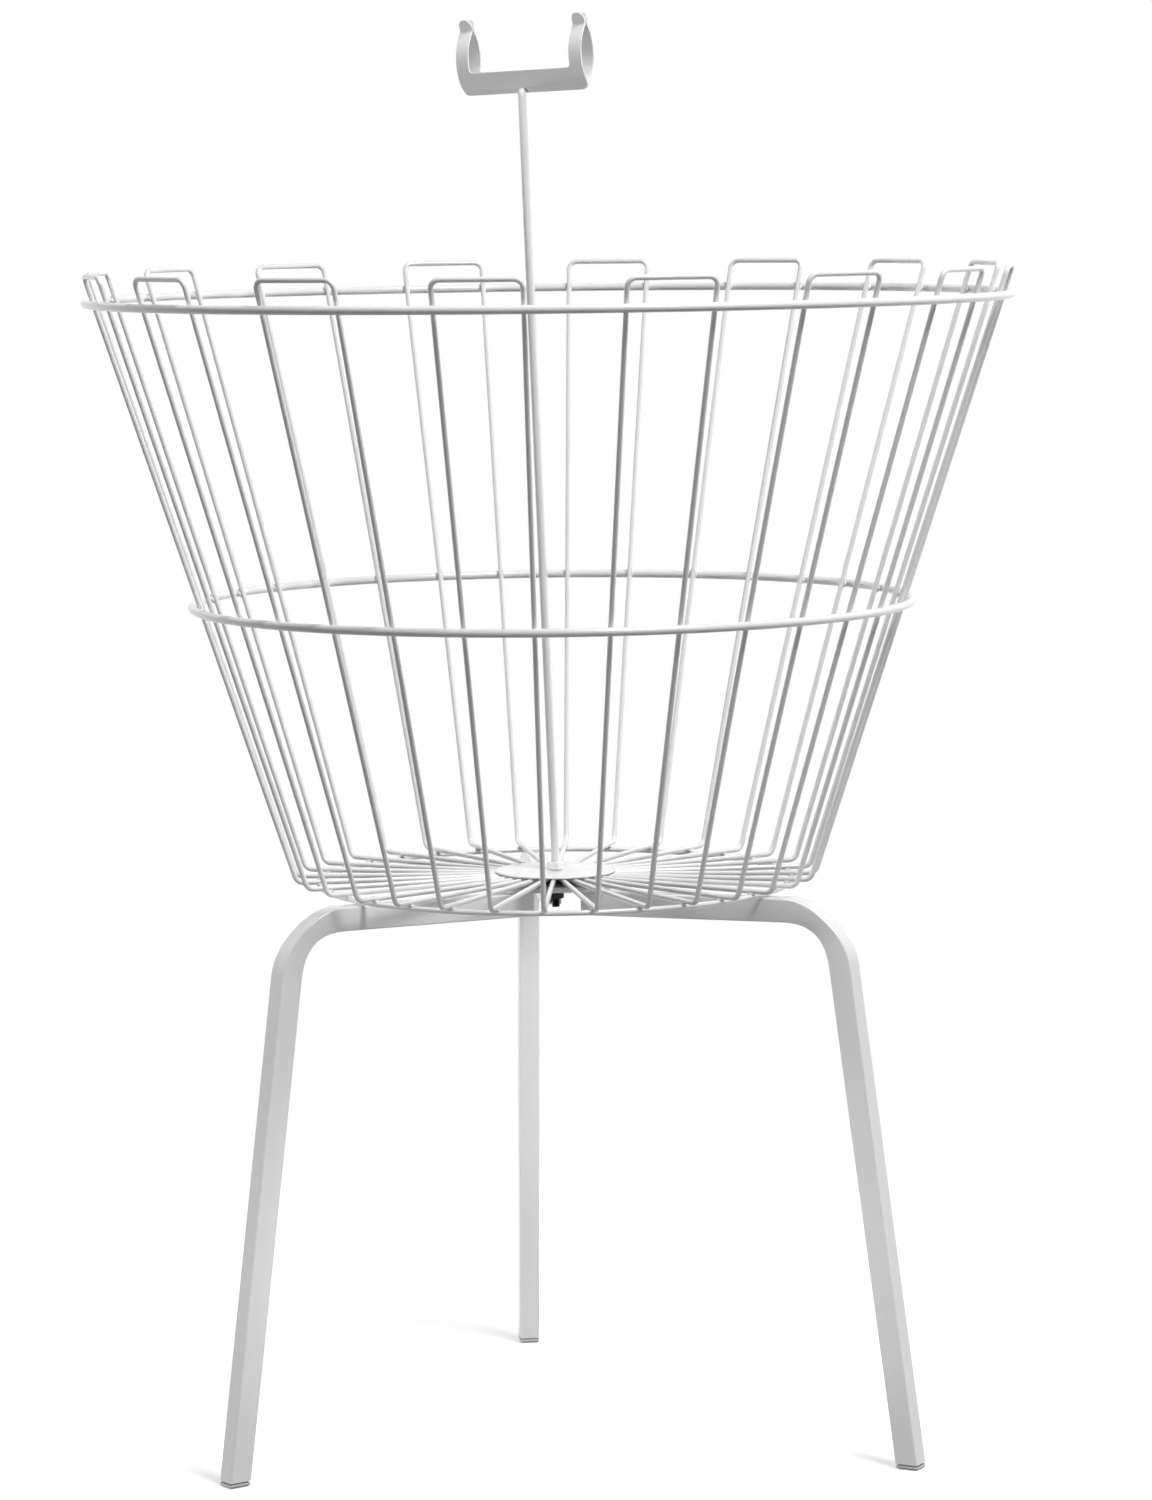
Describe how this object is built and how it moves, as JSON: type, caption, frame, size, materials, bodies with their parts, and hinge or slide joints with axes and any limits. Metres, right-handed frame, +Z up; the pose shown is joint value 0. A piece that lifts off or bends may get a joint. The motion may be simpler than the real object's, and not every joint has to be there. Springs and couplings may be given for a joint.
{
  "type": "revolving wire dump bin",
  "caption": "Cone-shaped white wire dump bin that turns on a bent-tube tripod, with a central post that carries a sprung sign clip over the rim.",
  "frame": {"origin": "on the floor, under the axis that the basket turns on", "axes": "+Z up along the turning axis, +X along the sign clip's bar, -Y the side that the front leaf of the clip faces"},
  "size_m": [0.7066, 0.7066, 1.086],
  "materials": {
    "powder_coat": "smooth white powder coat with faint orange peel",
    "black_plastic": "moulded black nylon",
    "black_steel": "black oxide steel",
    "pale_plastic": "moulded off-white polyethylene"
  },
  "bodies": {
    "tripod": {"hub_plate": "powder_coat", "turning_bearing": "black_plastic", "leg_right": "powder_coat", "leg_back": "powder_coat", "leg_left": "powder_coat", "foot_cap_right": "pale_plastic", "foot_cap_back": "pale_plastic", "foot_cap_left": "pale_plastic"},
    "basket": {"hairpin_wire_01": "powder_coat", "hairpin_wire_02": "powder_coat", "hairpin_wire_03": "powder_coat", "hairpin_wire_04": "powder_coat", "hairpin_wire_05": "powder_coat", "hairpin_wire_06": "powder_coat", "hairpin_wire_07": "powder_coat", "hairpin_wire_08": "powder_coat", "hairpin_wire_09": "powder_coat", "hairpin_wire_10": "powder_coat", "hairpin_wire_11": "powder_coat", "hairpin_wire_12": "powder_coat", "hairpin_wire_13": "powder_coat", "hairpin_wire_14": "powder_coat", "hairpin_wire_15": "powder_coat", "hairpin_wire_16": "powder_coat", "rim_ring": "powder_coat", "mid_ring": "powder_coat", "floor_ring": "powder_coat", "centre_disc": "powder_coat", "lock_nut": "powder_coat", "sign_post": "powder_coat", "retaining_nut": "black_steel"},
    "clip_front": {"clip_leaf_front": "powder_coat"},
    "clip_rear": {"clip_leaf_rear": "powder_coat"}
  },
  "joints": [
    {"name": "basket_spin", "type": "hinge", "parent": "tripod", "child": "basket", "pos_m": [0, 0, 0.43], "axis": [0, 0, 1], "continuous": true},
    {"name": "clip_front_spring", "type": "hinge", "parent": "basket", "child": "clip_front", "pos_m": [-0.01392, -0.00768, 1.0296], "axis": [0.9997, -0.0002, 0.0241], "range_deg": [0, 2.5], "stiffness_Nm_per_rad": 1},
    {"name": "clip_rear_spring", "type": "hinge", "parent": "basket", "child": "clip_rear", "pos_m": [-0.01392, -0.00638, 1.02962], "axis": [0.9997, -0.0002, 0.0241], "range_deg": [-2.5, 0], "stiffness_Nm_per_rad": 1}
  ],
  "couplings": [
    {"joint": "clip_rear_spring", "follows": "clip_front_spring", "ratio": -1}
  ]
}
